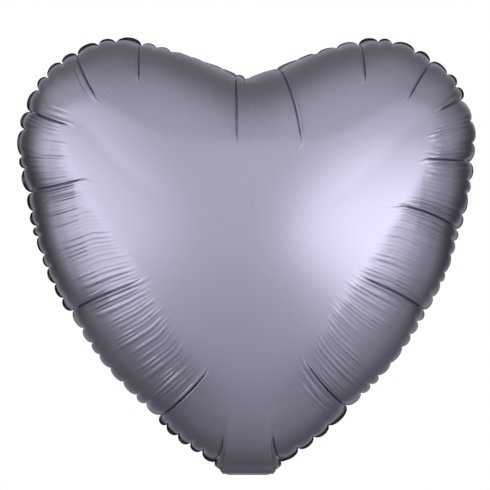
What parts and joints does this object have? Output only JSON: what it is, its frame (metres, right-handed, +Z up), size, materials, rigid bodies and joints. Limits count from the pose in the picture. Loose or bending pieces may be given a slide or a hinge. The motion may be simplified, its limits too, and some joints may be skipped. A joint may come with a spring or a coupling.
{
  "type": "heart-shaped foil balloon",
  "caption": "Inflated heart-shaped foil balloon with a flat sealed border, puckered film and a flat valve tail that folds at the neck.",
  "frame": {"origin": "the middle of the fold at the neck, where the tail meets the balloon and a ribbon is tied", "axes": "+Z up through the neck to the notch, +X to the right as seen from the front, and the front of the balloon faces -Y"},
  "size_m": [0.3898, 0.2014, 0.3692],
  "materials": {
    "foil": "satin metallised film, graphite with a lavender tint",
    "valve_film": "clear milky film"
  },
  "bodies": {
    "envelope": {"front_panel": "foil", "back_panel": "foil", "valve_front_ply": "valve_film", "valve_back_ply": "valve_film"},
    "tail": {"front_tail_leaf": "foil", "back_tail_leaf": "foil", "valve_front_mouth": "valve_film", "valve_back_mouth": "valve_film"}
  },
  "joints": [
    {"name": "tail_fold", "type": "hinge", "parent": "envelope", "child": "tail", "pos_m": [0, 0.0018, 0], "axis": [-1, 0, 0], "range_deg": [0, 128]}
  ]
}
